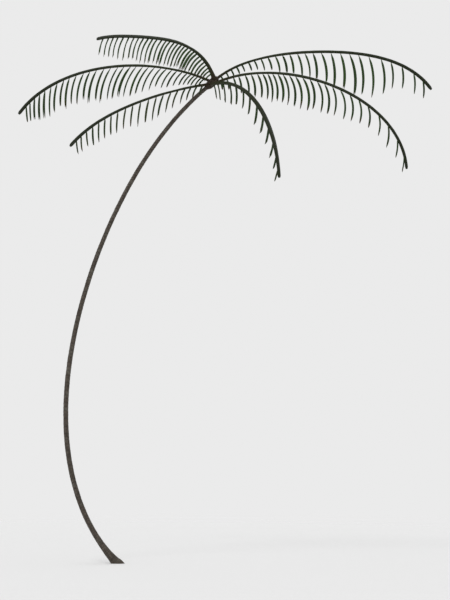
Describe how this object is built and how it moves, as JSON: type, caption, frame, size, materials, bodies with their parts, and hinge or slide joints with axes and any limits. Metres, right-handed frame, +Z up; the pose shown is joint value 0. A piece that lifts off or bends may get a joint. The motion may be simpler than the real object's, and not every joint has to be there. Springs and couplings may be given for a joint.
{
  "type": "leaning coconut palm tree",
  "caption": "Tall slender palm tree with a bowed, leaning trunk flared at the ground and an open crown of long arching fronds with hanging leaflets.",
  "frame": {"origin": "middle of the trunk's flat cut at ground level", "axes": "+Z up; the trunk bows in the XZ plane, first towards -X and then over towards +X, and the front view looks along +Y with +X to the right"},
  "size_m": [10.47, 7.6245, 13.4332],
  "materials": {
    "bark": "rough ringed bark",
    "heart_fibre": "matte woven fibre",
    "frond_green": "satin leaf"
  },
  "bodies": {
    "root": {"trunk": "bark", "crown_heart": "heart_fibre", "frond_upper_right_inner": "frond_green", "frond_upper_right_outer": "frond_green", "frond_right_inner": "frond_green", "frond_right_outer": "frond_green", "frond_lower_right_front_inner": "frond_green", "frond_lower_right_front_outer": "frond_green", "frond_lower_right_back_inner": "frond_green", "frond_lower_right_back_outer": "frond_green", "frond_upper_left_front_inner": "frond_green", "frond_upper_left_front_outer": "frond_green", "frond_upper_left_back_inner": "frond_green", "frond_upper_left_back_outer": "frond_green", "frond_left_inner": "frond_green", "frond_left_outer": "frond_green", "frond_lower_left": "frond_green"}
  },
  "joints": []
}
